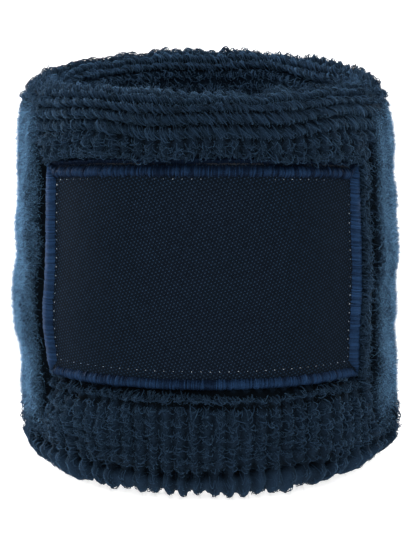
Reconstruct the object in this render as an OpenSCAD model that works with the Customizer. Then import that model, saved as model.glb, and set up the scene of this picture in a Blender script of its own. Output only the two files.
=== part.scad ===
// Sweat wristband: a knitted terry tube folded double, with a blank patch sewn on the front.
// Origin at the centre of the flat bottom, +Z up. The patch faces -Y.
// The band is an oval of four tangent arcs. Every layer is one wall profile carried round it.
// In a wall profile the first number is the depth below the outer face, the second the height.

/* [Band] */
// Height of the band, from the flat hem to the top of the fold
band_height = 60; // [55:1:75]
// Radius of the front and back arcs, at the outer face
front_radius = 31.5; // [31:0.5:34]
// Radius of the two side arcs, at the outer face
side_radius = 19; // [18:0.5:20]
// Radius of the hem's bottom corners
hem_radius = 2.2; // [1.5:0.1:2.8]

/* [Fabric] */
// Depth of the terry loops on either face
pile_depth = 2; // [1.8:0.1:2.4]
// Thickness of the ground knit of one ply
ground_thickness = 1; // [0.8:0.1:1.2]
// Gap between the two plies
ply_gap = 0.3; // [0.2:0.05:0.5]

/* [Elastic yarns] */
// Width and height of one elastic yarn
elastic_size = 0.5; // [0.3:0.05:0.6]
// Height of the lowest elastic yarn
elastic_first = 8; // [7:0.5:10]
// Height from one elastic yarn to the next
elastic_pitch = 3.8; // [3:0.1:6]

/* [Hem linking] */
// Height of the row of linking stitches
hem_seam_height = 4.3; // [4:0.1:5]
// Depth of the linking chain below the face of the pile
hem_chain_depth = 0; // [0:0.1:1]
// Width and height of the linking chain
hem_chain_size = 0.5; // [0.45:0.05:0.6]
// Width and height of a stitch's leg through the plies
hem_leg_size = 0.4; // [0.3:0.05:0.4]
// Linking stitches along the front arc, and the same along the back
hem_stitches_front = 23; // [16:1:28]
// Linking stitches along each side arc
hem_stitches_side = 11; // [8:1:13]

/* [Patch] */
// Width of the patch, measured round the curve
patch_width = 52; // [44:1:54]
// Height of the patch
patch_height = 33.5; // [28:0.5:36]
// Height of the patch's lower edge above the hem
patch_bottom = 15.8; // [12:0.1:18]
// Depth of the patch face below the outer face of the pile
patch_recess = 0.9; // [0.7:0.1:1]
// Thickness of the satin cloth
face_thickness = 0.25; // [0.2:0.05:0.35]
// Thickness of the stiff backing
backing_thickness = 0.3; // [0.2:0.05:0.4]
// Width of the stitched border
border_width = 2.6; // [2:0.1:3.2]
// Height of the stitched border above the satin
border_height = 0.5; // [0.3:0.05:0.6]

/* [Patch seam] */
// Step from one seam stitch to the next
seam_pitch = 1.35; // [1.2:0.05:2]
// Length of one seam stitch
seam_stitch_length = 0.9; // [0.6:0.05:1]
// Thickness and width of the seam thread
seam_thread_size = 0.15; // [0.1:0.01:0.2]
// Distance from the border to the seam
seam_inset = 0.3; // [0.2:0.05:0.5]

/* [Hidden] */
$fn = 180;

navy = [0.11, 0.17, 0.25];
patch_navy = [0.08, 0.13, 0.20];
border_blue = [0.14, 0.22, 0.33];
knit_blue = [0.20, 0.28, 0.38];
elastic_white = [0.80, 0.80, 0.78];
clear_thread = [0.55, 0.62, 0.72];

// The oval: neighbouring arcs meet where the line through their two centres cuts them. That
// line is the long side of a 3-4-5 triangle, so that the arcs meet exactly.
FRONT = -90;
RIGHT = 0;
BACK = 90;
LEFT = 180;
JOIN_X = 0.8;
JOIN_Y = 0.6;
side_center_x = JOIN_X * (front_radius - side_radius);
front_center_y = JOIN_Y * (front_radius - side_radius);
join_angle = asin(JOIN_X);
beyond = 2 * front_radius;

// The wall
wall = 2 * (pile_depth + ground_thickness) + ply_gap;
mid = wall / 2;
inside_of_ground = pile_depth + ground_thickness;
fold_z = band_height - mid;
joined_height = hem_seam_height + 1;
elastic_count = floor((fold_z - 1 - elastic_first) / elastic_pitch) + 1;
corner_step = 15;

// The patch
inner_width = patch_width - 2 * border_width;
inner_height = patch_height - 2 * border_width;
cloth_margin = border_width / 2;
border_outer_depth = patch_recess - border_height;
patch_back_depth = patch_recess + face_thickness + backing_thickness;
seam_width = inner_width - 2 * seam_inset;
seam_height = inner_height - 2 * seam_inset;
patch_center_z = patch_bottom + patch_height / 2;

// Angle that a length round the front arc covers, at the face of the patch
function arc_angle(length) = length / (front_radius - patch_recess) * 180 / PI;

// Profile points lie on whole microns, so that neighbouring arcs meet exactly
function to_micron(v) = round(v * 1000) / 1000;

// Points of a rounded corner, as depth and height
function corner(cx, cz, r, from, to) =
    [for (a = [from : (to > from ? corner_step : -corner_step) : to])
        [to_micron(cx - r * cos(a)), to_micron(cz + r * sin(a))]];

function mirrored(profile) = [for (p = profile) [wall - p[0], p[1]]];

// The four arcs of the oval: the way each faces, its half angle and its linking stitches
ARCS = [[FRONT, join_angle, hem_stitches_front], [RIGHT, 90 - join_angle, hem_stitches_side],
        [BACK, join_angle, hem_stitches_front], [LEFT, 90 - join_angle, hem_stitches_side]];

function on_side(facing) = facing == RIGHT || facing == LEFT;
function arc_radius(facing) = on_side(facing) ? side_radius : front_radius;
function arc_sign(facing) = facing == RIGHT || facing == BACK ? 1 : -1;
function arc_center(facing) =
    on_side(facing) ? [arc_sign(facing) * side_center_x, 0]
                    : [0, -arc_sign(facing) * front_center_y];

// Corners of the wedge that holds one arc, seen from above
function wedge_corner(facing, side) =
    arc_center(facing) + beyond * (on_side(facing) ? [arc_sign(facing) * JOIN_X, side * JOIN_Y]
                                                   : [side * JOIN_X, arc_sign(facing) * JOIN_Y]);
function wedge(facing) =
    [arc_center(facing), wedge_corner(facing, -1), wedge_corner(facing, 1)];

function to_radius(facing, profile) = [for (p = profile) [arc_radius(facing) - p[0], p[1]]];

// One wall profile over one arc
module arc_sector(facing, profile) {
    intersection() {
        translate(arc_center(facing)) rotate_extrude() polygon(to_radius(facing, profile));
        translate([0, 0, -1]) linear_extrude(band_height + 2) polygon(wedge(facing));
    }
}

// One wall profile carried all the way round, less the linking stitches and the patch's pocket
module around_band(profile, stitched = false, pocket = false) {
    for (arc = ARCS)
        difference() {
            arc_sector(arc[0], profile);
            if (stitched) hem_thread_arc(arc);
            if (pocket && arc[0] == FRONT) patch_pocket();
        }
}

function rectangle(depth, thickness, z, height) =
    [[depth, z], [depth + thickness, z], [depth + thickness, z + height], [depth, z + height]];

// Outer half of the pile: outside face, half of the fold and half of the hem
pile_profile = concat(
    [[mid, 0]],
    corner(hem_radius, hem_radius, hem_radius, -90, 0),
    corner(mid, fold_z, mid, 0, 90),
    corner(mid, fold_z, mid - pile_depth, 90, 0),
    [[pile_depth, pile_depth], [mid, pile_depth]]);

// The four corners of one elastic yarn's notch, from the top down
function notch(z) =
    [[inside_of_ground, z + elastic_size], [inside_of_ground - elastic_size, z + elastic_size],
     [inside_of_ground - elastic_size, z], [inside_of_ground, z]];
notches = [for (i = [elastic_count - 1 : -1 : 0])
    each notch(elastic_first + i * elastic_pitch)];

ground_profile = concat(
    [[mid, pile_depth], [pile_depth, pile_depth]],
    corner(mid, fold_z, mid - pile_depth, 0, 90),
    corner(mid, fold_z, ply_gap / 2, 90, 0),
    notches,
    [[inside_of_ground, joined_height], [mid, joined_height]]);

// One ring of elastic yarn in each notch
module elastic_rings(inner_ply) {
    for (i = [0 : elastic_count - 1]) {
        ring = rectangle(inside_of_ground - elastic_size, elastic_size,
                         elastic_first + i * elastic_pitch, elastic_size);
        around_band(inner_ply ? mirrored(ring) : ring);
    }
}

// The linking thread: a chain on each face, and a leg through both plies at each stitch
hem_chain = rectangle(hem_chain_depth, hem_chain_size,
                      hem_seam_height - hem_chain_size / 2, hem_chain_size);

module hem_legs(arc) {
    leg_length = wall - 2 * hem_chain_depth - hem_chain_size;
    translate(arc_center(arc[0]))
        for (i = [0 : arc[2] - 1])
            rotate(arc[0] - arc[1] + 2 * arc[1] * (i + 0.5) / arc[2])
                translate([arc_radius(arc[0]) - mid, 0, hem_seam_height])
                    cube([leg_length, hem_leg_size, hem_leg_size], center = true);
}

module hem_thread_arc(arc) {
    arc_sector(arc[0], hem_chain);
    arc_sector(arc[0], mirrored(hem_chain));
    hem_legs(arc);
}

// A curved block on the front, across a given angle about its middle
module front_block(angle, half_angle, profile) {
    translate(arc_center(FRONT))
        rotate_extrude(angle = 2 * half_angle, start = FRONT + angle - half_angle)
            polygon(to_radius(FRONT, profile));
}

// A curved block centred on the patch
module patch_block(width, height, depth, thickness) {
    front_block(0, arc_angle(width) / 2,
                rectangle(depth, thickness, patch_center_z - height / 2, height));
}

module patch_pocket() {
    patch_block(patch_width, patch_height, -1, 1 + patch_back_depth);
}

// One row of seam stitches all round, just inside the border
module seam_stitches(depth) {
    across = round(seam_width / seam_pitch);
    up = round(seam_height / seam_pitch);
    step_angle = arc_angle(seam_width / across);
    step_z = seam_height / up;
    long_angle = arc_angle(seam_stitch_length) / 2;
    thin_angle = arc_angle(seam_thread_size) / 2;
    for (level = [-1, 1], i = [0 : across - 1])
        stitch((i + 0.5 - across / 2) * step_angle, level * seam_height / 2, long_angle,
               seam_thread_size, depth);
    for (side = [-1, 1], i = [0 : up - 1])
        stitch(side * arc_angle(seam_width) / 2, (i + 0.5 - up / 2) * step_z, thin_angle,
               seam_stitch_length, depth);
}

module stitch(angle, z, half_angle, height, depth) {
    front_block(angle, half_angle,
                rectangle(depth - seam_thread_size, seam_thread_size,
                          patch_center_z + z - height / 2, height));
}

module pile_outer() {
    color(navy) around_band(pile_profile, stitched = true, pocket = true);
}

module pile_inner() {
    color(navy) around_band(mirrored(pile_profile), stitched = true);
}

module ground_knit_outer() {
    color(knit_blue) around_band(ground_profile, stitched = true);
}

module ground_knit_inner() {
    color(knit_blue) around_band(mirrored(ground_profile), stitched = true);
}

module elastic_yarns_outer() {
    color(elastic_white) elastic_rings(false);
}

module elastic_yarns_inner() {
    color(elastic_white) elastic_rings(true);
}

module hem_linking_thread() {
    color(navy) {
        around_band(hem_chain);
        around_band(mirrored(hem_chain));
        for (arc = ARCS) hem_legs(arc);
    }
}

module patch_face() {
    color(patch_navy)
        patch_block(patch_width - 2 * cloth_margin, patch_height - 2 * cloth_margin,
                    patch_recess, face_thickness);
}

module patch_backing() {
    color(elastic_white)
        patch_block(patch_width - 2 * cloth_margin, patch_height - 2 * cloth_margin,
                    patch_recess + face_thickness, backing_thickness);
}

module patch_border_thread() {
    color(border_blue) difference() {
        patch_block(patch_width, patch_height, border_outer_depth,
                    patch_back_depth - border_outer_depth);
        patch_block(inner_width, inner_height, 0, mid);
        patch_block(patch_width - 2 * cloth_margin, patch_height - 2 * cloth_margin,
                    patch_recess, mid);
    }
}

module patch_seam_needle_thread() {
    color(clear_thread) seam_stitches(patch_recess);
}

module patch_seam_bobbin_thread() {
    color(clear_thread) seam_stitches(inside_of_ground + seam_thread_size);
}

pile_outer();
pile_inner();
ground_knit_outer();
ground_knit_inner();
elastic_yarns_outer();
elastic_yarns_inner();
hem_linking_thread();
patch_face();
patch_backing();
patch_border_thread();
patch_seam_needle_thread();
patch_seam_bobbin_thread();
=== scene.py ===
import math

import bpy
import numpy as np
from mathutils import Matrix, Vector


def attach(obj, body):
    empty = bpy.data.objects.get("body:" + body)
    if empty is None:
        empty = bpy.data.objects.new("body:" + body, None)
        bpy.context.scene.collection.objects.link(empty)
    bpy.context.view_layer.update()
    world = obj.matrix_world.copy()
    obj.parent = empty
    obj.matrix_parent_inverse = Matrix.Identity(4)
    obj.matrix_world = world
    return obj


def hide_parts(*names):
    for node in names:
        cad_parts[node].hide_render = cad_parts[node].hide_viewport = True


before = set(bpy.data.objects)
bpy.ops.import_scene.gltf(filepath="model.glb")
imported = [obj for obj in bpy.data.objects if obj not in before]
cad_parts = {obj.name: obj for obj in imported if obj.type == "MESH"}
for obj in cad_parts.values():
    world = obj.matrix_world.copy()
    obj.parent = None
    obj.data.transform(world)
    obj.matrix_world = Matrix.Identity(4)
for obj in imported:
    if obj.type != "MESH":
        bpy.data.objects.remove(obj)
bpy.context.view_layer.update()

# Lengths are in millimetres until a mesh or a lamp is made.
MM = 0.001

# The plain band, as in the CAD: an oval tube of two front and back arcs and two side arcs, whose
# centres and joins lie on a 3-4-5 triangle. Its wall is knit with terry loops on both faces,
# folded over at the rim and linked together at the hem.
FRONT_RADIUS = 31.5
SIDE_RADIUS = 19.0
JOIN = math.asin(0.8)
SIDE_CENTER_X = 0.8 * (FRONT_RADIUS - SIDE_RADIUS)
FRONT_CENTER_Y = 0.6 * (FRONT_RADIUS - SIDE_RADIUS)
HEIGHT = 60.0
PILE = 2.0
GROUND = 1.0
WALL = 6.3
MID = WALL / 2
KNIT_TURN = MID - PILE

# How the soft band departs from the plain oval tube
SHRINK = 0.3          # all round, because loops give way
BARREL = 1.1          # narrower at hem and rim than at mid height
HEM_LIFT = (1.9, 2.2)  # the hem rises towards the left and right sides
RIM_DROP = 1.9        # the rim falls towards the two sides
RIM_RISE = 0.4        # the loops stand up over the rim

# The patch, measured round the curve and up from its own middle
PATCH_W = 53.0
PATCH_H = 32.6
PATCH_Z = 32.4
PATCH_SHIFT = -0.7
PATCH_DEPTH = 1.3
PATCH_RADIUS = FRONT_RADIUS - PATCH_DEPTH
ARCH_TOP = 2.2
ARCH_BOTTOM = 1.3
BORDER_W = 2.4
BORDER_RISE = 0.75
SEAM_PITCH = 1.35
BORDER_PITCH = 0.21
FACE_INSET = 0.8      # the satin's and the backing's edges, inside the border's outer edge
BACKING_INSET = 0.6
SATIN_WARP = 0.1785   # the spacing of the satin's threads
SATIN_WEFT = 0.163

# Knitting and hem
COURSE = 1.9          # from one row of loops to the next
TUFT = 2.1            # from one knob of loops to the next along a row
BUNDLE = 0.7          # from one bundle of loops to the next in a rope
HEM_SEAM_Z = 4.3
HEM_STITCHES = 68
ELASTIC_FIRST_Z = 8
ELASTIC_PITCH = 3.8
ELASTIC_RINGS = 13

rng = np.random.default_rng(7)


# ---------------------------------------------------------------- the oval and the wall

ARC_ENDS = np.array([-JOIN, JOIN, math.pi - JOIN, math.pi + JOIN, 2 * math.pi - JOIN])
ARC_RADII = np.array([FRONT_RADIUS, SIDE_RADIUS, FRONT_RADIUS, SIDE_RADIUS])
ARC_CENTERS = np.array([[0, FRONT_CENTER_Y], [SIDE_CENTER_X, 0],
                        [0, -FRONT_CENTER_Y], [-SIDE_CENTER_X, 0]])
LENGTHS = np.concatenate([[0], np.cumsum(np.diff(ARC_ENDS) * ARC_RADII)])
GIRTH = LENGTHS[-1]
FRONT_HALF = JOIN * FRONT_RADIUS
HEM_PITCH = GIRTH / HEM_STITCHES


def around(angle):
    """An angle brought to the range that ARC_ENDS covers."""
    return np.mod(angle + JOIN, 2 * math.pi) - JOIN


def facing_at(length):
    """The way the wall faces, as an angle from the front, at a length round the outer face."""
    return np.interp(np.mod(length + FRONT_HALF, GIRTH), LENGTHS, ARC_ENDS)


def length_at(phi):
    """The length round the outer face where the wall faces phi."""
    return np.interp(around(phi), ARC_ENDS, LENGTHS) - FRONT_HALF


def turned(phi):
    """An angle between -pi and pi, 0 at the front."""
    return np.mod(phi + math.pi, 2 * math.pi) - math.pi


def directions(phi):
    """Unit vectors along the wall, out of it and up, where the wall faces phi."""
    zero = np.zeros_like(phi)
    along = np.stack([np.cos(phi), np.sin(phi), zero], -1)
    out = np.stack([np.sin(phi), -np.cos(phi), zero], -1)
    up = np.stack([zero, zero, zero + 1], -1)
    return along, out, up


def smooth(x, a, b):
    """0 below a, 1 above b, with a smooth rise between."""
    t = np.clip((x - a) / (b - a), 0, 1)
    return t * t * (3 - 2 * t)


def bump(x, width):
    """1 where x is 0, falling away over width on both sides."""
    return np.exp(-(x / width) ** 2)


def place(phi, z, depth):
    """A point of the soft band: facing phi, at height z, some depth below the outer face."""
    phi, z, depth = np.broadcast_arrays(np.asarray(phi, float), z, depth)
    arc = np.clip(np.searchsorted(ARC_ENDS, around(phi), "right") - 1, 0, 3)
    radius = ARC_RADII[arc] - depth - SHRINK
    radius = radius - BARREL * (1 - np.sin(math.pi * np.clip(z / HEIGHT, 0, 1)))
    x = ARC_CENTERS[arc, 0] + radius * np.sin(phi)
    y = ARC_CENTERS[arc, 1] - radius * np.cos(phi)
    side = (x / (SIDE_CENTER_X + SIDE_RADIUS)) ** 2
    # How far each side stands out or draws in, by height
    left = 1.0 * bump(z - 25, 6) + 0.7 * bump(z - 5, 4) - 0.2 * bump(z - 58, 4)
    right = 0.5 * bump(z - 31, 9) + 1.2 * bump(z - 11, 7) + 2.2 * bump(z - 4, 4) - 0.75 * bump(z - 58, 4)
    x = x + side * np.where(x < 0, -left, right)
    half = z / (HEIGHT / 2)
    lift = np.where(x < 0, HEM_LIFT[0], HEM_LIFT[1])
    z = z + lift * side ** 2 * np.clip(1 - half, 0, 1) - RIM_DROP * side ** 2 * np.clip(half - 1, 0, 1)
    return np.stack([x, y, z + RIM_RISE * smooth(z, 40, HEIGHT)], -1)


# The wall's outline, from the middle of the hem's underside, up outside, over the rim, down inside
HEM_ARC = math.pi / 2 * MID
STRAIGHT = HEIGHT - WALL
TURN = math.pi * MID
RIM_START = HEM_ARC + STRAIGHT
RIM_END = RIM_START + TURN
DOWN_END = RIM_END + STRAIGHT
TOTAL = DOWN_END + HEM_ARC


def outline(t):
    """At a length along the outline: how far it has turned and how far it has gone straight up."""
    before = np.minimum(t - HEM_ARC, 0)
    over = np.clip(t - RIM_START, 0, TURN)
    after = np.maximum(t - DOWN_END, 0)
    up = np.clip(t - HEM_ARC, 0, STRAIGHT)
    down = np.clip(t - RIM_END, 0, STRAIGHT)
    return (before + over + after) / MID, up - down


def height_at(t):
    """The height of the knit face at a length along the outline."""
    turn, straight = outline(t)
    return MID + straight + KNIT_TURN * np.sin(turn)


def waves(seed, count, reach):
    """A smooth random field of the angle and the height, about -1 to 1."""
    r = np.random.default_rng(seed)
    turns = r.integers(1, reach, count)
    rise = r.uniform(-1, 1, count) * reach / 40
    phase = r.uniform(0, 2 * math.pi, count)

    def field(phi, z):
        total = 0
        for k, m, p in zip(turns, rise, phase):
            total = total + np.sin(k * phi + m * z + p)
        return total / np.sqrt(count / 2)
    return field


wander = waves(3, 14, 12)
rumple = waves(5, 22, 34)


# ---------------------------------------------------------------- mesh making

def new_object(name, verts, faces, look, shade=None, uv=None):
    """A smooth mesh object from points in millimetres and arrays of equal-sided faces."""
    faces = [np.asarray(f, np.int32) for f in faces if len(f)]
    corners = np.concatenate([f.ravel() for f in faces])
    sizes = np.concatenate([np.full(len(f), f.shape[1], np.int32) for f in faces])
    starts = np.concatenate([[0], np.cumsum(sizes)[:-1]]).astype(np.int32)
    me = bpy.data.meshes.new(name)
    me.vertices.add(len(verts))
    me.vertices.foreach_set("co", (np.asarray(verts, float) * MM).astype(np.float32).ravel())
    me.loops.add(len(corners))
    me.loops.foreach_set("vertex_index", corners)
    me.polygons.add(len(sizes))
    me.polygons.foreach_set("loop_start", starts)
    me.polygons.foreach_set("use_smooth", np.ones(len(sizes), bool))
    if shade is not None:
        me.attributes.new("shade", "FLOAT", "POINT").data.foreach_set(
            "value", np.asarray(shade, np.float32))
    if uv is not None:
        layer = me.uv_layers.new(name="cloth")
        layer.data.foreach_set("uv", np.asarray(uv, np.float32)[corners].ravel())
    me.update(calc_edges=True)
    me.validate()
    me.materials.append(look)
    ob = bpy.data.objects.new(name, me)
    bpy.context.scene.collection.objects.link(ob)
    return ob


def unit(v):
    """Vectors scaled to length 1."""
    return v / np.maximum(np.linalg.norm(v, axis=-1, keepdims=True), 1e-9)


def tubes(paths, radii, sides, reference, closed=False):
    """Round tubes along many paths at once: points (n, k, 3), radii (n, k)."""
    n, k, _ = paths.shape
    if closed:
        tangent = np.roll(paths, -1, 1) - np.roll(paths, 1, 1)
    else:
        tangent = np.gradient(paths, axis=1)
    tangent = unit(tangent)
    one = unit(np.cross(tangent, reference))
    two = np.cross(tangent, one)
    angle = np.arange(sides) * 2 * math.pi / sides
    ring = np.cos(angle)[:, None] * one[:, :, None, :] + np.sin(angle)[:, None] * two[:, :, None, :]
    verts = (paths[:, :, None, :] + radii[:, :, None, None] * ring).reshape(-1, 3)
    s = np.arange(sides)
    t = (s + 1) % sides
    rows = []
    for i in range(k if closed else k - 1):
        a, b = i * sides, ((i + 1) % k) * sides
        rows.append(np.stack([a + s, a + t, b + t, b + s], -1))
    quads = np.concatenate(rows)
    offset = (np.arange(n) * k * sides)[:, None, None]
    faces = [(quads[None] + offset).reshape(-1, 4)]
    if not closed:
        caps = np.stack([s[::-1], s + (k - 1) * sides])
        faces.append((caps[None] + offset).reshape(-1, sides))
    return verts, faces


def spikes(root, middle, tip, radius):
    """Fine closed fibres that taper to a point: root, middle and tip are (n, 3)."""
    n = len(root)
    way = unit(tip - root)
    one = unit(np.cross(way, np.roll(way, 1, -1) + 0.31))
    two = np.cross(way, one)
    angle = np.arange(3) * 2 * math.pi / 3
    ring = np.cos(angle)[:, None] * one[:, None] + np.sin(angle)[:, None] * two[:, None]
    low = root[:, None] + radius[:, None, None] * ring
    high = middle[:, None] + 0.75 * radius[:, None, None] * ring
    verts = np.concatenate([low, high, tip[:, None]], 1).reshape(-1, 3)
    offset = (np.arange(n) * 7)[:, None, None]
    quads = np.array([[0, 1, 4, 3], [1, 2, 5, 4], [2, 0, 3, 5]])
    tris = np.array([[3, 4, 6], [4, 5, 6], [5, 3, 6], [2, 1, 0]])
    return verts, [(quads[None] + offset).reshape(-1, 4), (tris[None] + offset).reshape(-1, 3)]


def needles(root, tip, radius):
    """Fine straight fibres, four faces each."""
    way = unit(tip - root)
    one = unit(np.cross(way, np.roll(way, 1, -1) + 0.31))
    two = np.cross(way, one)
    angle = np.arange(3) * 2 * math.pi / 3
    ring = np.cos(angle)[:, None] * one[:, None] + np.sin(angle)[:, None] * two[:, None]
    low = root[:, None] + radius[:, None, None] * ring
    verts = np.concatenate([low, tip[:, None]], 1).reshape(-1, 3)
    tris = np.array([[0, 1, 3], [1, 2, 3], [2, 0, 3], [2, 1, 0]])
    return verts, [(tris[None] + (np.arange(len(root)) * 4)[:, None, None]).reshape(-1, 3)]


def grid_faces(rows, columns, wrap_rows=False, wrap_columns=False):
    """The quads of a grid of points, closed on itself where it wraps."""
    i = np.arange(rows if wrap_rows else rows - 1)[:, None]
    j = np.arange(columns if wrap_columns else columns - 1)[None]
    k = (i + 1) % rows
    m = (j + 1) % columns
    return np.stack([i * columns + j, i * columns + m, k * columns + m, k * columns + j], -1).reshape(-1, 4)


def slab(front, back, wrap_columns=False):
    """A closed thin slab from two grids of points (rows, columns, 3): its faces and points."""
    rows, columns, _ = front.shape
    if wrap_columns:
        ring = np.stack([front, back[::-1]]).reshape(2 * rows, columns, 3)
        return ring.reshape(-1, 3), [grid_faces(2 * rows, columns, True, True)]
    verts = np.concatenate([front.reshape(-1, 3), back.reshape(-1, 3)])
    face = grid_faces(rows, columns)
    n = rows * columns
    index = np.arange(n).reshape(rows, columns)
    rim = np.concatenate([index[0, :-1], index[:-1, -1], index[-1, :0:-1], index[:0:-1, 0]])
    nxt = np.roll(rim, -1)
    edge = np.stack([nxt, rim, rim + n, nxt + n], -1)
    return verts, [np.concatenate([face, face[:, ::-1] + n, edge])]


# ---------------------------------------------------------------- materials

def material(name, rough, specular, sheen=0.0, sheen_rough=0.5, sheen_tint=(1, 1, 1)):
    """A new material, its node tree and its shader."""
    m = bpy.data.materials.new(name)
    m.use_nodes = True
    nt = m.node_tree
    p = nt.nodes["Principled BSDF"]
    p.inputs["Roughness"].default_value = rough
    p.inputs["Specular IOR Level"].default_value = specular
    p.inputs["Sheen Weight"].default_value = sheen
    p.inputs["Sheen Roughness"].default_value = sheen_rough
    p.inputs["Sheen Tint"].default_value = (*sheen_tint, 1)
    return m, nt, p


def ramp(nt, value, stops):
    """A colour ramp over value: stops are (position, colour)."""
    node = nt.nodes.new("ShaderNodeValToRGB")
    for i, (at, colour) in enumerate(stops):
        e = node.color_ramp.elements[i] if i < 2 else node.color_ramp.elements.new(at)
        e.position = at
        e.color = (*colour, 1)
    nt.links.new(value, node.inputs["Fac"])
    return node.outputs["Color"]


def noise(nt, scale, detail=2.0):
    """Procedural noise in the object's own space."""
    node = nt.nodes.new("ShaderNodeTexNoise")
    node.inputs["Scale"].default_value = scale
    node.inputs["Detail"].default_value = detail
    coords = nt.nodes.new("ShaderNodeTexCoord").outputs["Object"]
    nt.links.new(coords, node.inputs["Vector"])
    return node.outputs["Fac"]


def maths(nt, operation, *values):
    """A math node: each value is a number or another node's output."""
    node = nt.nodes.new("ShaderNodeMath")
    node.operation = operation
    for socket, x in zip(node.inputs, values):
        if isinstance(x, (int, float)):
            socket.default_value = x
        else:
            nt.links.new(x, socket)
    return node.outputs[0]


NAVY = np.array([0.0076, 0.0164, 0.0310])
SHEEN_TINT = (0.30, 0.62, 1.0)


def navy(strength):
    """The band's navy, scaled."""
    return tuple(NAVY * strength)


def yarn_material(name, dark, bright, sheen, rough=0.9):
    """Yarn between two colours, by each strand's shade, fine mottle and slow drift. The shade attribute holds
    each strand's own tone, and in places painted shade and painted light.
    """
    m, nt, p = material(name, rough, 0.03, sheen, 0.4, SHEEN_TINT)
    shade = nt.nodes.new("ShaderNodeAttribute")
    shade.attribute_name = "shade"
    mottle = maths(nt, "MULTIPLY", noise(nt, 6500), 0.4)
    mix = maths(nt, "MULTIPLY_ADD", shade.outputs["Fac"], 0.5, mottle)
    mix = maths(nt, "MULTIPLY_ADD", noise(nt, 110), 0.2, mix)
    nt.links.new(ramp(nt, mix, [(0.3, dark), (0.8, bright)]), p.inputs["Base Color"])
    return m


def roughen(look, scale, height):
    """Fine matted relief."""
    nt = look.node_tree
    node = nt.nodes.new("ShaderNodeBump")
    node.inputs["Strength"].default_value = 1.0
    node.inputs["Distance"].default_value = height
    nt.links.new(noise(nt, scale), node.inputs["Height"])
    nt.links.new(node.outputs["Normal"], nt.nodes["Principled BSDF"].inputs["Normal"])


def plain_material(name, low, high, scale, **looks):
    """Two colours mottled by noise."""
    m, nt, p = material(name, **looks)
    nt.links.new(ramp(nt, noise(nt, scale), [(0.3, low), (0.75, high)]), p.inputs["Base Color"])
    return m


def satin_material():
    """Eight-end satin: one warp thread in eight comes up on each weft, three along from the last."""
    cloth_dark = (0.0026, 0.0043, 0.0072)
    cloth_mid = (0.0044, 0.0078, 0.0138)
    cloth_light = navy(2.3)
    m, nt, p = material("patch_satin", 0.6, 0.01)
    uv = nt.nodes.new("ShaderNodeUVMap")
    uv.uv_map = "cloth"
    split = nt.nodes.new("ShaderNodeSeparateXYZ")
    nt.links.new(uv.outputs[0], split.inputs[0])
    warp = maths(nt, "DIVIDE", split.outputs[0], SATIN_WARP)
    weft = maths(nt, "DIVIDE", split.outputs[1], SATIN_WEFT)
    three_along = maths(nt, "MULTIPLY", maths(nt, "FLOOR", warp), 3)
    code = maths(nt, "SUBTRACT", three_along, maths(nt, "FLOOR", weft))
    up = maths(nt, "COMPARE", maths(nt, "FLOORED_MODULO", code, 8), 0, 0.1)
    across = maths(nt, "PINGPONG", warp, 0.5)
    # The floats that come up are lighter, and each thread lighter at its middle than at its sides: painted
    # highlight. The noise is the cloth's own mottle.
    value = maths(nt, "MULTIPLY_ADD", up, 0.5, maths(nt, "MULTIPLY", noise(nt, 1300), 0.45))
    value = maths(nt, "MULTIPLY_ADD", across, 0.25, value)
    colour = ramp(nt, value, [(0.1, cloth_dark), (0.5, cloth_mid), (0.95, cloth_light)])
    nt.links.new(colour, p.inputs["Base Color"])
    relief = maths(nt, "MULTIPLY_ADD", up, 0.6, across)
    node = nt.nodes.new("ShaderNodeBump")
    node.inputs["Strength"].default_value = 0.35
    node.inputs["Distance"].default_value = 0.00005
    nt.links.new(relief, node.inputs["Height"])
    nt.links.new(node.outputs["Normal"], p.inputs["Normal"])
    return m


# ---------------------------------------------------------------- creases, swells and pinches

def patch_coordinates(phi, z):
    """How far right and up of the patch's middle a point of the front is."""
    p = turned(phi) * PATCH_RADIUS - PATCH_SHIFT
    half = np.clip(p / (PATCH_W / 2), -1, 1)
    above = z - PATCH_Z
    arch = ARCH_BOTTOM + (ARCH_TOP - ARCH_BOTTOM) * np.clip(0.5 + above / PATCH_H, 0, 1)
    return p, above - arch * (1 - half ** 2)


def from_patch(phi, z):
    """How far outside the patch's outline a point is, less than 0 inside it."""
    p, q = patch_coordinates(phi, z)
    return np.maximum(np.abs(p) - PATCH_W / 2, np.abs(q) - PATCH_H / 2)


def from_stitch(phi):
    """The distance round the band to the nearest hem stitch."""
    s = length_at(phi) / HEM_PITCH
    return (s - np.round(s)) * HEM_PITCH


def hem_holes(phi, z):
    """1 at the middle of each hole that a hem stitch pulls open."""
    return bump(from_stitch(phi), 0.6) * bump(z - HEM_SEAM_Z, 0.65)


def creases(phi, z):
    """How deep the folds beside and below the patch are."""
    p, q = patch_coordinates(phi, z)
    beside = smooth(q, -PATCH_H / 2 - 11, -PATCH_H / 2) * (1 - smooth(q, PATCH_H / 2 - 1, PATCH_H / 2 + 4))
    left = 1.9 * bump(p + PATCH_W / 2 + 1.0, 0.9)
    right = 2.5 * bump(p - PATCH_W / 2 - 3.0, 0.65)
    within = 1 - smooth(np.abs(p), PATCH_W / 2 - 1, PATCH_W / 2 + 1.5)
    below = 0.9 * bump(q + PATCH_H / 2 + 0.4, 0.4) + 0.8 * bump(q + PATCH_H / 2 + 2.2, 0.35)
    return (left + right) * beside + below * within


def dents(phi, z):
    """How far folds and the hem's stitches press the outside in."""
    groove = 0.2 * bump(z - HEM_SEAM_Z, 0.6)
    leg = 0.9 * bump(from_stitch(phi), 0.5) * (1 - smooth(z, HEM_SEAM_Z - 0.5, HEM_SEAM_Z + 0.5))
    return creases(phi, z) + 2.0 * hem_holes(phi, z) + groove + leg


def combed(phi, z):
    """1 on the sides, past the folds beside the patch, where the loops are brushed flat."""
    p, _ = patch_coordinates(phi, z)
    past = smooth(np.maximum(p - 3.8, -p - 1.8) - PATCH_W / 2, 0, 0.6)
    tall = smooth(z, 6, 12) * (1 - smooth(z, 54, 58))
    return past * tall * (1 - smooth(np.abs(turned(phi)), 2.1, 2.5))


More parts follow.
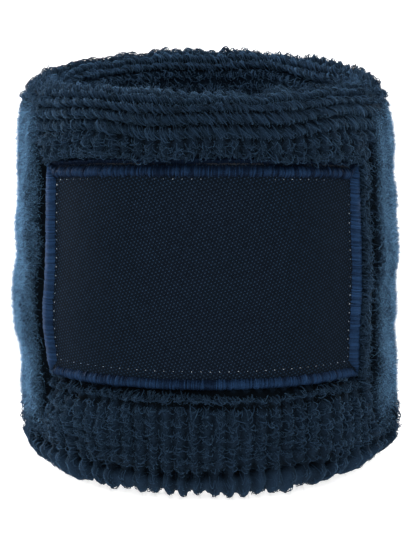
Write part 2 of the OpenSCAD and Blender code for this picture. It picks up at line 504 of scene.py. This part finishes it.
def swells(phi, z):
    """How far the outside stands out between the folds, and above and below the patch."""
    p, q = patch_coordinates(phi, z)
    beside = smooth(q, -PATCH_H / 2 - 9, -PATCH_H / 2 + 2) * (1 - smooth(q, PATCH_H / 2 - 2, PATCH_H / 2 + 3))
    within = 1 - smooth(np.abs(p), PATCH_W / 2 - 1, PATCH_W / 2 + 1.5)
    ridge = 0.55 * bump(np.abs(p) - PATCH_W / 2 - 5.5, 1.8) * beside
    lower = 0.6 * bump(q + PATCH_H / 2 + 6, 3.2) * within
    upper = 0.45 * bump(q - PATCH_H / 2 - 2.4, 1.6) * within
    return ridge + lower + upper


def cloth(length, t, lift, least=0.4, give=1.0):
    """Points at a length round the band and a length along its outline, lifted off the knit face,
    and the normals there. least is the closest they come to the middle of the wall."""
    length, t, lift = np.broadcast_arrays(length, t, lift)
    phi = facing_at(length)
    t = np.clip(t + 0.3 * wander(phi, t), 0, TOTAL)
    turn, straight = outline(t)
    z = MID + straight + KNIT_TURN * np.sin(turn)
    outside = np.cos(turn) > 0
    quiet = np.where(outside & (t < RIM_START), smooth(from_patch(phi, z), -2, 0), 1)
    press = 0.22 * rumple(phi, z) * quiet + np.where(outside, dents(phi, z) - swells(phi, z), 0)
    radius = np.maximum(KNIT_TURN + lift - give * press, least)
    points = place(phi, MID + straight + radius * np.sin(turn), MID - radius * np.cos(turn))
    _, outward, upward = directions(phi)
    return points, np.cos(turn)[..., None] * outward + np.sin(turn)[..., None] * upward


# ---------------------------------------------------------------- terry loops

def in_hem(t):
    """1 in the roll below the hem seam."""
    return 1 - smooth(t, HEM_ARC + 0.2, HEM_ARC + 1.2)


def neatness(phi, t):
    """1 where loops lie in rope-like rows, over the rim, falling to 0.2 where they tumble."""
    rim = smooth(t, RIM_START - 4.5, RIM_START - 2) * (1 - smooth(t, RIM_END - 2, RIM_END + 2))
    return 0.2 + 0.8 * rim * (1 - 0.8 * smooth(np.abs(np.sin(phi)), 0.75, 0.92))


def terry_loops(length, t, lean, radius, sides, points, size=1.0):
    """Arches of fine yarn, drawn on the flat cloth and then laid on the band: mesh, shade, and
    their centre lines and normals. lean moves their tops along and up."""
    n = len(t)
    phi, z = facing_at(length), height_at(t)
    order = neatness(phi, t)
    loose = 1 - order
    hem = in_hem(t)
    outside = t < RIM_START
    comb = combed(phi, z) * outside
    upright = hem + comb
    shallow = 1 - 0.55 * np.clip(dents(phi, z) / 1.4, 0, 1) * outside
    knob = np.cos(2 * math.pi * length / TUFT)
    slant = -50 - 35 * upright
    tilt = np.radians(slant + rng.normal(0, 1, n) * (8 + 50 * loose * (1 - 0.8 * upright)))
    reach = rng.uniform(0.7, 1.2, n) * (1 + 1.05 * smooth(order, 0.4, 1) + 0.7 * upright) * shallow
    height = rng.uniform(1.45 + 0.1 * order + 0.35 * hem, 1.95 - 0.1 * order, n) * shallow
    height = height * (1 + 0.16 * knob * (1 - upright)) * (1 - 0.1 * comb)
    drift = rng.normal(0, 1, (2, n)) * (0.06 + 0.24 * loose * (1 - 0.7 * upright))
    curl = rng.normal(0, 0.12, n) + rng.normal(0, 0.3, n) * loose * (1 - 0.8 * upright)
    angle = np.linspace(0, math.pi, points)
    x = -0.5 * np.cos(angle) * (1 + 0.3 * np.sin(angle))
    y = np.sin(angle) ** 0.75
    far = size * reach[:, None] * x
    sway = curl[:, None] * np.sin(2 * angle)
    cos, sin = np.cos(tilt)[:, None], np.sin(tilt)[:, None]
    u = length[:, None] + cos * far - sin * sway + (drift[0] + lean[0])[:, None] * y
    v = t[:, None] + sin * far + cos * sway + (drift[1] - 0.12 * loose + lean[1])[:, None] * y
    line, normal = cloth(u, v, size * height[:, None] * y - 0.1)
    side = unit(np.cross(line[:, -1] - line[:, 0], normal[:, points // 2]))
    girth = np.full((n, points), radius) * rng.uniform(0.7, 1.3, n)[:, None]
    verts, faces = tubes(line, girth, sides, side[:, None])
    bundle = 0.14 * np.sin(2 * math.pi * length / BUNDLE + 3 * wander(3 * phi, t))
    # Each loop's own random tone and its bundle's, with painted shade between the knobs of the looser rows
    # and painted light over the hem roll.
    shade = 0.3 + rng.uniform(-0.35, 0.35, n) * (1 + 0.7 * order) + bundle + 0.12 * knob * loose + 0.35 * hem
    # Painted shade at the foot of each loop, lighter towards its top, less of it on the combed sides.
    shade = np.repeat(shade[:, None] + (0.3 - 0.15 * comb)[:, None] * y, sides, 1).ravel()
    return verts, faces, shade, line, normal


def stand(courses, per_course, jitter):
    """Where the loops of some courses stand: lengths round the band and along the outline."""
    around_band, along_outline = [], []
    for c in courses:
        length = (np.arange(per_course) + rng.uniform(-jitter, jitter, per_course)) * GIRTH / per_course
        loose = 1 - neatness(facing_at(length), c)
        around_band.append(length - loose * 0.3 * np.sin(2 * math.pi * length / TUFT))
        along_outline.append(c + rng.normal(0, 0.10 + 0.28 * loose, per_course))
    return np.concatenate(around_band), np.concatenate(along_outline)


def stand_round_patch(count, offset, below):
    """Where the loops stand that run along the patch's right and upper edges, or below it, and how
    far they lean up."""
    hw, hh = PATCH_W / 2 + offset, PATCH_H / 2 + offset
    s = np.sort(rng.uniform(0, 4 * (hw + hh), count))
    p = np.select([s < 2 * hw, s < 2 * hw + 2 * hh, s < 4 * hw + 2 * hh],
                  [s - hw, hw, 3 * hw + 2 * hh - s], -hw) + rng.normal(0, 0.15, count)
    q = np.select([s < 2 * hw, s < 2 * hw + 2 * hh, s < 4 * hw + 2 * hh],
                  [-hh, s - 2 * hw - hh, hh], 4 * hw + 3 * hh - s) + rng.normal(0, 0.15, count)
    kept = q < 0.5 - hh if below else (p > hw - 0.5) | (q > hh - 0.5)
    q = q + np.where(q > hh - 0.5, 0.35, 0)
    p, q = p[kept], q[kept]
    phi = (p + PATCH_SHIFT) / PATCH_RADIUS
    arch = ARCH_BOTTOM + (ARCH_TOP - ARCH_BOTTOM) * (0.5 + q / PATCH_H)
    z = PATCH_Z + q + (1 - np.clip(2 * p / PATCH_W, -1, 1) ** 2) * arch
    return length_at(phi), z - MID + HEM_ARC, np.where(q > hh - 0.5, -0.15, 0)


pieces = []
fibre_roots = []


def add(ob, slot, *nodes):
    """Keep a piece, the name of its material slot, which nothing uses, and the CAD nodes that it stands for.
    """
    pieces.append((ob, slot, nodes))
    return ob


terry = yarn_material("terry_cotton", (0.0034, 0.0066, 0.0108), navy(2.15), 0.2)
# Much lighter yarn for the fibres brushed over the sides: painted sheen, for the bright strips where the
# sides turn away.
brushed = yarn_material("terry_cotton_brushed_painted_sheen", navy(0.8), (0.060, 0.122, 0.196), 0.8)
knit = yarn_material("ground_knit", (0.0016, 0.0030, 0.0048), navy(1.9), 0.1)
roughen(knit, 4500, 0.00012)
# Lighter yarn for the inner half of the rim: painted light, where the lamps reach too little.
lip_terry_painted_light = yarn_material("terry_cotton_lip_painted_light", (0.0065, 0.0110, 0.0170), navy(4.3), 0.25)
# Lighter yarn still for the loops inside the band: painted light, where little light reaches.
inside_terry_painted_light = yarn_material("terry_cotton_inside_painted_light", (0.016, 0.026, 0.034), (0.060, 0.095, 0.130), 0.2)


def add_loops(name, length, t, node, look, lean=(0, 0), cotton=terry):
    """Make a group of loops into a piece, and note where fibres may grow from it."""
    lean = [np.broadcast_to(x, t.shape) for x in lean]
    verts, faces, shade, line, normal = terry_loops(length, t, lean, **look)
    fibre_roots.append((line[:, 2:-2].reshape(-1, 3), normal[:, 2:-2].reshape(-1, 3)))
    add(new_object(name, verts, faces, cotton, shade), "terry_pile", node)


LOOP = dict(radius=0.068, sides=3, points=8)
INNER_LOOP = dict(radius=0.095, sides=3, points=7)

LOOPS_PER_COURSE = 900
INNER_LOOPS_PER_COURSE = 440
outer_courses = np.arange(1.0, RIM_END + 5, COURSE)
inner_courses = np.arange(outer_courses[-1] + COURSE, TOTAL, COURSE)
length, t = stand(outer_courses, LOOPS_PER_COURSE, 0.6)
phi = facing_at(length)
z = height_at(t)
top_edge = 0.4 * (patch_coordinates(phi, z)[1] > 0)
clear = (from_patch(phi, z) > top_edge) & (hem_holes(phi, z) < 0.15) & (creases(phi, z) < 0.6)
keep = clear | (t > RIM_START)
length, t, face = length[keep], t[keep], turned(phi[keep])
FRONT_TO = 0.87
BACK_FROM = 2.27
zones = {"front": np.abs(face) < FRONT_TO,
         "right": (face >= FRONT_TO) & (face < BACK_FROM),
         "back": np.abs(face) >= BACK_FROM,
         "left": (face <= -FRONT_TO) & (face > -BACK_FROM)}
UPPER_FROM = HEM_ARC + 22
RIM_FROM = RIM_START - 3
LIP_FROM = RIM_START + 0.6 * TURN
levels = {"lower": t < UPPER_FROM,
          "upper": (t >= UPPER_FROM) & (t < RIM_FROM),
          "rim": (t >= RIM_FROM) & (t < LIP_FROM),
          "lip": t >= LIP_FROM}
for zone, in_zone in zones.items():
    for level, in_level in levels.items():
        m = in_zone & in_level
        # The inner half of the rim takes the lighter yarn of painted light.
        cotton = lip_terry_painted_light if level == "lip" else terry
        add_loops(f"terry_{zone}_{level}", length[m], t[m], "pile_outer", LOOP, cotton=cotton)
length, t, down = stand_round_patch(1300, 0.25, False)
add_loops("terry_round_patch", length, t, "pile_outer", LOOP, (0, down))
# The row just below the patch takes the darker ground-knit yarn: painted shade in the fold under the patch.
length, t, _ = stand_round_patch(1500, 1.2, True)
add_loops("terry_below_patch", length, t, "pile_outer", dict(LOOP, size=0.8), cotton=knit)
outer_roots = list(fibre_roots)
length, t = stand(inner_courses, INNER_LOOPS_PER_COURSE, 0.5)
face = turned(facing_at(length))
# The inside loops take the lighter yarn of painted light.
for name, m in (("front", np.abs(face) < 1.5), ("back", np.abs(face) >= 1.5)):
    add_loops(f"terry_inside_{name}", length[m], t[m], "pile_inner", INNER_LOOP, cotton=inside_terry_painted_light)


# Each loop that has been pulled out of the pile: the way it faces in degrees, how far along the
# outline it stands, and how far it leans along the wall and up
STRAYS = [(173, RIM_START + 4.6, 0.2, 0.0), (68, HEM_ARC + 5.2, 0.9, -0.9), (69, HEM_ARC + 4.6, 0.2, -0.6),
          (-28, RIM_START - 3, 0.3, 0.4), (200, HEM_ARC + 20, 0.5, -0.5), (130, HEM_ARC + 33, -0.4, 0.3)]
STRAY_LOOP = dict(radius=0.085, sides=5, points=16, size=1.4)
STRAY_STRANDS = 5


def stray_loops():
    """Where the strands of the stray loops stand and how they lean."""
    facing, t, along, up = np.repeat(np.array(STRAYS), STRAY_STRANDS, 0).T
    length = length_at(np.radians(facing)) + rng.normal(0, 0.12, len(t))
    return length, t + rng.normal(0, 0.12, len(t)), (along, up)


# The stray loops take the darker ground-knit yarn: painted shade that holds down their tops where the lamps
# catch them.
length, t, lean = stray_loops()
add_loops("terry_stray", length, t, "pile_outer", STRAY_LOOP, lean, knit)


def make_fibres(count, spread, mean, radius, bent):
    """Loose fibre ends that stand off the loops, more of them where the sides are brushed."""
    roots = np.concatenate([r for r, _ in outer_roots])
    normals = np.concatenate([n for _, n in outer_roots])
    chance = 1 + 2 * normals[:, 0] ** 4 + 0.5 * np.clip(normals[:, 2], 0, 1)
    pick = rng.choice(len(roots), count, p=chance / chance.sum())
    root = roots[pick]
    way = unit(normals[pick] * spread + rng.normal(0, 0.75, (count, 3)))
    length = rng.gamma(3, mean / 3, count)[:, None]
    middle = root + way * length * 0.55 + rng.normal(0, 0.2, (count, 3)) * length
    tip = middle + unit(way + rng.normal(0, 0.7, (count, 3))) * length * 0.45
    girth = radius * rng.uniform(0.7, 1.3, count)
    verts, faces = spikes(root, middle, tip, girth) if bent else needles(root, tip, girth)
    return verts, faces, np.repeat(rng.uniform(0.3, 0.9, count), len(verts) // count)


def make_brushed(count):
    """Fibres brushed flat over the sides, and fine hairs that stand off half of them."""
    length = rng.uniform(0, GIRTH, 5 * count)
    t = rng.uniform(HEM_ARC + 1, RIM_START, 5 * count)
    kept = rng.uniform(0, 1, 5 * count) < combed(facing_at(length), height_at(t))
    length, t = length[kept][:count], t[kept][:count]
    n = len(t)
    root, _ = cloth(length, t, rng.uniform(0.9, 1.5, n))
    lift = rng.uniform(1.4, 2.0, n) + rng.exponential(0.2, n)
    tip, _ = cloth(length + rng.normal(0, 0.3, n), t + rng.normal(0, 0.9, n), lift)
    verts, faces = needles(root, tip, 0.042 * rng.uniform(0.4, 1.3, n))
    clump = 0.45 * wander(31 * facing_at(length), 0.35 * t)
    # Darker towards the rim and the hem: painted shade that takes the painted sheen off there.
    ends = 0.5 * smooth(t, RIM_START - 14, RIM_START - 2) + 0.3 * (1 - smooth(t, HEM_ARC + 4, HEM_ARC + 14))
    shade = np.repeat(rng.uniform(-0.5, 0.95, n) + clump - ends, 4)
    start, normal = cloth(length[:n // 2], t[:n // 2], 1.6)
    way = unit(normal + rng.normal(0, 0.5, start.shape)) * rng.gamma(3, 0.24, (len(start), 1))
    hairs, hair_faces = needles(start, start + way, 0.024 * rng.uniform(0.6, 1.3, len(start)))
    # The hairs take the lightest of the painted sheen.
    shade = np.concatenate([shade, np.full(len(hairs), 0.9)])
    tris = np.concatenate([faces[0], hair_faces[0] + len(verts)])
    return np.concatenate([verts, hairs]), [tris], shade


verts, faces, shade = make_brushed(60000)
# The brushed fibres take the lighter yarn of painted sheen.
add(new_object("terry_fibres_brushed", verts, faces, brushed, shade), "terry_pile", "pile_outer")
SHORT_FIBRES = dict(count=48000, spread=0.5, mean=0.5, radius=0.022, bent=False)
LONG_FIBRES = dict(count=14000, spread=1.0, mean=1.1, radius=0.010, bent=True)
for name, kind in (("a", SHORT_FIBRES), ("b", SHORT_FIBRES), ("c", SHORT_FIBRES), ("long", LONG_FIBRES)):
    verts, faces, shade = make_fibres(**kind)
    add(new_object(f"terry_fibres_{name}", verts, faces, terry, shade), "terry_pile", "pile_outer")


# ---------------------------------------------------------------- ground knit and elastic

def make_ground():
    """The knitted tube with the matted feet of the loops: one folded sheet."""
    t = np.concatenate([np.linspace(0.6, RIM_START - 6, 60, endpoint=False),
                        np.linspace(RIM_START - 6, RIM_END + 4, 56, endpoint=False),
                        np.linspace(RIM_END + 4, TOTAL - 0.6, 56)])
    length = np.arange(420) * GIRTH / 420
    T, L = np.meshgrid(t, length, indexing="ij")
    phi, z = facing_at(L), height_at(T)
    outside = T < RIM_START
    comb = combed(phi, z) * outside
    clear = np.where(outside, smooth(from_patch(phi, z), -0.2, 0.8), 1)
    rope = (neatness(phi, T) - 0.2) / 0.8 * np.cos(2 * math.pi * (T - outer_courses[0]) / COURSE)
    knob = 0.2 * np.cos(2 * math.pi * L / TUFT) * (1 - comb) * outside
    rim = smooth(T, RIM_START - 5, RIM_START - 2)
    matted = 1.15 + 0.45 * (in_hem(T) + in_hem(TOTAL - T)) + 0.4 * rope - 0.25 * comb + knob - 0.15 * rim
    face, _ = cloth(L, T, matted * clear - 0.05 * (1 - clear))
    back, _ = cloth(L, T, -0.85, least=0.05, give=0.1)
    verts, faces = slab(face, back, wrap_columns=True)
    # Painted shade in the folds and the hem's holes, between the knobs, and in the valleys between the rim's
    # ropes.
    pressed = np.minimum(creases(phi, z) + hem_holes(phi, z), 0.7)
    # Painted light over the hem roll and, a little, over the combed sides.
    shade = np.where(outside, 0.3 + 0.1 * comb + knob + 0.25 * in_hem(T) - 0.9 * pressed, 0.3) + 0.3 * rope
    # Painted light over the inside face.
    shade = np.stack([shade + 0.5 * (T > RIM_END + 5), np.zeros_like(comb)])
    return new_object("ground_knit", verts, faces, knit, shade.ravel())


ground = add(make_ground(), "ground_knit", "ground_knit_outer", "ground_knit_inner")

elastic_look = plain_material("elastic_yarn", (0.012, 0.014, 0.02), (0.03, 0.034, 0.045), 900,
                              rough=0.6, specular=0.3)


def make_elastic(name, outside):
    """Rings of covered rubber yarn laid into the ground knit."""
    t = HEM_ARC - MID + ELASTIC_FIRST_Z + np.arange(ELASTIC_RINGS) * ELASTIC_PITCH
    t = t if outside else TOTAL - t
    T, L = np.meshgrid(t, np.arange(240) * GIRTH / 240, indexing="ij")
    under = (from_patch(facing_at(L), height_at(T)) < 0.3) & outside
    paths, _ = cloth(L, T, np.where(under, -0.5, -0.3), least=0.15)
    up = np.zeros((len(t), 1, 3))
    up[..., 2] = 1
    verts, faces = tubes(paths, np.full(paths.shape[:2], 0.25), 6, up, closed=True)
    return new_object(name, verts, faces, elastic_look)


add(make_elastic("elastic_outer", True), "elastic_yarn", "elastic_yarns_outer")
add(make_elastic("elastic_inner", False), "elastic_yarn", "elastic_yarns_inner")


# ---------------------------------------------------------------- patch

def on_patch(p, q, lift):
    """A point of the patch, p right and q up of its middle, raised above its face by lift."""
    p, q, lift = np.broadcast_arrays(np.asarray(p, float), q, lift)
    half = np.clip(p / (PATCH_W / 2), -1, 1)
    arch = ARCH_BOTTOM + (ARCH_TOP - ARCH_BOTTOM) * (0.5 + q / PATCH_H)
    return place((p + PATCH_SHIFT) / PATCH_RADIUS, PATCH_Z + q + (1 - half ** 2) * arch, PATCH_DEPTH - lift)


def patch_grid(inset, columns, rows):
    """Points over the patch in its own coordinates, and how much the cloth waves there."""
    p = np.linspace(-PATCH_W / 2 + inset, PATCH_W / 2 - inset, columns)
    q = np.linspace(-PATCH_H / 2 + inset, PATCH_H / 2 - inset, rows)
    q, p = np.meshgrid(q, p, indexing="ij")
    waviness = 0.07 * np.sin(0.35 * p + 0.2 * q) * np.sin(0.31 * q + 1)
    return p, q, waviness


def make_patch_face():
    """The blank satin panel: one laid sheet."""
    p, q, wave = patch_grid(FACE_INSET, 200, 130)
    verts, faces = slab(on_patch(p, q, wave), on_patch(p, q, wave - 0.25))
    uv = np.tile(np.stack([p.ravel() + 100, q.ravel() + 100], -1), (2, 1))
    return new_object("patch_face", verts, faces, satin_material(), uv=uv)


def make_patch_backing():
    """The stiff layer under the satin: one laid sheet."""
    p, q, wave = patch_grid(BACKING_INSET, 100, 66)
    verts, faces = slab(on_patch(p, q, wave - 0.27), on_patch(p, q, wave - 0.55))
    look = plain_material("patch_backing", (0.02, 0.022, 0.026), (0.05, 0.052, 0.058), 800,
                          rough=0.9, specular=0.1)
    return new_object("patch_backing", verts, faces, look)


patch = add(make_patch_face(), "patch_satin", "patch_face")
backing = add(make_patch_backing(), "patch_backing", "patch_backing")


def frame_runs(pitch, inset):
    """Points along the patch's four edges as (p, q, inward p, inward q, distance to the corner)."""
    hw, hh = PATCH_W / 2 - inset, PATCH_H / 2 - inset
    runs = []
    for sign in (-1, 1):
        for half, other, is_side in ((hw, hh, False), (hh, hw, True)):
            n = round(2 * half / pitch)
            s = (np.arange(n) + 0.5) / n * 2 * half - half
            still = np.zeros(n)
            edge = np.full(n, sign * other)
            room = half - np.abs(s)
            if is_side:
                runs.append(np.stack([edge, s, still - sign, still, room], -1))
            else:
                runs.append(np.stack([s, edge, still, still - sign, room], -1))
    return np.concatenate(runs)


def across_edge(run):
    """Unit vectors along the edge, for stitches that run inward from it."""
    phi = (run[:, 0] + PATCH_SHIFT) / PATCH_RADIUS
    along, _, up = directions(phi)
    return unit(along * run[:, 3:4] - up * run[:, 2:3])


def border_profile(run, s):
    """How high the border stands, 0 to 1, along each stitch from the patch's outer edge inward: one
    roll on the left and right, a thin edge and a low roll on top, and a low roll below."""
    side = np.sin(math.pi * s) ** 0.6
    top = 0.5 * bump(s - 0.06, 0.1) + np.sin(math.pi * np.clip((s - 0.38) / 0.62, 0, 1)) ** 0.6
    bottom = np.sin(math.pi * np.clip(s / 0.66, 0, 1)) ** 0.6 + 0.1 * bump(s - 0.9, 0.1)
    inward = run[:, 3:4]
    return np.where(inward == 0, side, np.where(inward < 0, top, bottom))


def make_border():
    """Satin stitches side by side over a raised edge, mitred at the corners."""
    run = frame_runs(BORDER_PITCH, 0)
    run = run[run[:, 4] > 0.15]
    n, points = len(run), 13
    s = np.linspace(0, 1, points)[None]
    reach = np.minimum(BORDER_W, run[:, 4]) + rng.normal(0, 0.06, n)
    start = rng.normal(0, 0.05, n)
    depth = start[:, None] + reach[:, None] * s
    sway = rng.normal(0, 0.018, n)[:, None] + 0.12 * s
    p = run[:, 0:1] + run[:, 2:3] * depth + run[:, 3:4] * sway
    q = run[:, 1:2] + run[:, 3:4] * depth - run[:, 2:3] * sway
    profile = border_profile(run, s)
    rise = BORDER_RISE * np.clip(reach / BORDER_W, 0.3, 1) + rng.normal(0, 0.014, n)
    paths = on_patch(p, q, -0.35 + (rise[:, None] + 0.1) * profile)
    girth = np.full(paths.shape[:2], 0.122) * rng.uniform(0.85, 1.15, n)[:, None]
    verts, faces = tubes(paths, girth, 6, across_edge(run)[:, None])
    # Painted shade where the border dips, more on top and below, and painted shade over the whole top and
    # bottom edges, most on top. The rest is each stitch's own tone.
    painted_dip_shade = np.where(run[:, 3:4] == 0, 0.25, 0.7)
    painted_edge_shade = np.select([run[:, 3:4] < 0, run[:, 3:4] > 0], [0.4, 0.25], 0)
    shade = rng.uniform(0.4, 1.0, n)[:, None] - painted_dip_shade * (1 - profile) - painted_edge_shade
    return new_object("patch_border_stitches", verts, faces, border_look, np.repeat(shade, 6, 1).ravel())


def make_seam(name, lift, length, radius, look):
    """The short stitches of the clear thread that hold the patch on. They show on the left, less on
    the right, and are drawn into the cloth below and on top."""
    run = frame_runs(SEAM_PITCH, BORDER_W + 0.3)
    n = len(run)
    s = np.linspace(-0.5, 0.5, 7)
    p = run[:, 0:1] + run[:, 3:4] * s * length
    q = run[:, 1:2] - run[:, 2:3] * s * length
    arch = np.cos(math.pi * s)
    drawn_in = np.select([run[:, 2] > 0, run[:, 2] < 0, run[:, 3] > 0], [0.0, 0.03, 0.045], 0.1)
    paths = on_patch(p, q, lift - drawn_in[:, None] + 0.08 * arch + rng.normal(0, 0.02, (n, 1)))
    phi = (run[:, 0] + PATCH_SHIFT) / PATCH_RADIUS
    _, out, _ = directions(phi)
    girth = np.full((n, 7), radius)
    verts, faces = tubes(paths, girth, 6, out[:, None])
    return new_object(name, verts, faces, look)


border_look = yarn_material("border_thread", (0.0024, 0.0062, 0.0165), (0.0150, 0.042, 0.102), 0, 0.6)
# The clear thread is given a pale colour: painted glints.
clear_look = plain_material("clear_thread", (0.25, 0.3, 0.36), (0.6, 0.66, 0.72), 500,
                            rough=0.2, specular=0.6)
add(make_border(), "border_thread", "patch_border_thread")
add(make_seam("patch_seam_top", 0.0, 0.14, 0.035, clear_look), "seam_thread", "patch_seam_needle_thread")
add(make_seam("patch_seam_under", -0.65, 0.9, 0.07, clear_look), "seam_thread", "patch_seam_bobbin_thread")


# ---------------------------------------------------------------- hem linking

def make_hem_thread():
    """A leg at each stitch, from the seam down round the hem's edge, and a chain along the seam."""
    lengths = np.arange(HEM_STITCHES) * HEM_PITCH
    seam = HEM_SEAM_Z - MID + HEM_ARC
    T, L = np.meshgrid(np.linspace(0.2, seam, 9), lengths)
    path, _ = cloth(L, T, 1.1)
    phi = facing_at(lengths)
    legs = tubes(path, np.full(T.shape, 0.2), 5, directions(phi)[0][:, None])
    n = HEM_STITCHES * 12
    wave = 0.25 * np.sin(np.arange(n) / 12 * 2 * math.pi)
    ring, _ = cloth(np.arange(n) * GIRTH / n, seam + wave, 0.8)
    up = np.zeros((1, 1, 3))
    up[..., 2] = 1
    chain = tubes(ring[None], np.full((1, n), 0.22), 5, up, closed=True)
    verts = np.concatenate([legs[0], chain[0]])
    quads = np.concatenate([legs[1][0], chain[1][0] + len(legs[0])])
    return new_object("hem_linking", verts, [quads, legs[1][1]], hem_look, np.full(len(verts), 0.3))


hem_look = yarn_material("linking_thread", navy(0.4), navy(1.0), 0.1)
add(make_hem_thread(), "linking_thread", "hem_linking_thread")


# ---------------------------------------------------------------- rides, and hiding the CAD parts that the pieces stand for

for ob, slot, nodes in pieces:
    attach(ob, "root")
    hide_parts(*nodes)


# ---------------------------------------------------------------- studio

def area_light(name, at, look, size, watts):
    """A rectangular lamp at a place, aimed at another."""
    data = bpy.data.lights.new(name, "AREA")
    data.shape = "RECTANGLE"
    data.size, data.size_y = size
    data.energy = watts
    ob = bpy.data.objects.new(name, data)
    bpy.context.scene.collection.objects.link(ob)
    ob.location = at
    ob.rotation_euler = (Vector(look) - Vector(at)).to_track_quat("-Z", "Y").to_euler()


def studio():
    """A world brighter behind and above, a plain pale floor and four soft lamps."""
    world = bpy.data.worlds.new("studio")
    bpy.context.scene.world = world
    world.use_nodes = True
    nt = world.node_tree
    coords = nt.nodes.new("ShaderNodeTexCoord").outputs["Generated"]
    split = nt.nodes.new("ShaderNodeSeparateXYZ")
    nt.links.new(coords, split.inputs[0])
    toward = maths(nt, "MULTIPLY_ADD", split.outputs[2], 0.7, split.outputs[1])
    spread = nt.nodes.new("ShaderNodeMapRange")
    spread.interpolation_type = "SMOOTHSTEP"
    for key, value in (("From Min", -0.55), ("From Max", 0.6), ("To Min", 0.17), ("To Max", 0.8)):
        spread.inputs[key].default_value = value
    nt.links.new(toward, spread.inputs["Value"])
    nt.links.new(spread.outputs["Result"], nt.nodes["Background"].inputs["Strength"])
    corners = np.array([[-3000, -3000, 0], [3000, -3000, 0], [3000, 3000, 0], [-3000, 3000, 0.0]])
    look = plain_material("floor", (0.5, 0.5, 0.5), (0.52, 0.52, 0.52), 3, rough=0.95, specular=0.0)
    shader = look.node_tree.nodes["Principled BSDF"]
    shader.inputs["Emission Color"].default_value = (1, 1, 1, 1)
    shader.inputs["Emission Strength"].default_value = 0.85
    new_object("floor", corners, [np.array([[0, 1, 2, 3]])], look)
    area_light("left", (-0.41, 0.28, 0.05), (0, 0, 0.03), (0.3, 0.5), 16)
    area_light("right", (0.41, 0.28, 0.05), (0, 0, 0.03), (0.3, 0.5), 7)
    area_light("top", (0, 0.0, 0.6), (0, 0, 0), (0.7, 0.7), 4)
    area_light("front", (0, -0.40, 0.35), (0, 0, 0.04), (0.3, 0.3), 1.5)


def camera():
    """The viewing angle of the photograph: in front, a little above."""
    data = bpy.data.cameras.new("camera")
    data.sensor_fit = "HORIZONTAL"
    data.sensor_width = 36
    data.lens = 178.4
    ob = bpy.data.objects.new("camera", data)
    bpy.context.scene.collection.objects.link(ob)
    ob.location = (0, -0.3062, 0.1098)
    aim = Vector((0.00063, 0, 0.0294))
    ob.rotation_euler = (aim - ob.location).to_track_quat("-Z", "Y").to_euler()
    bpy.context.scene.camera = ob


studio()
camera()
bpy.context.scene.view_settings.view_transform = "Standard"
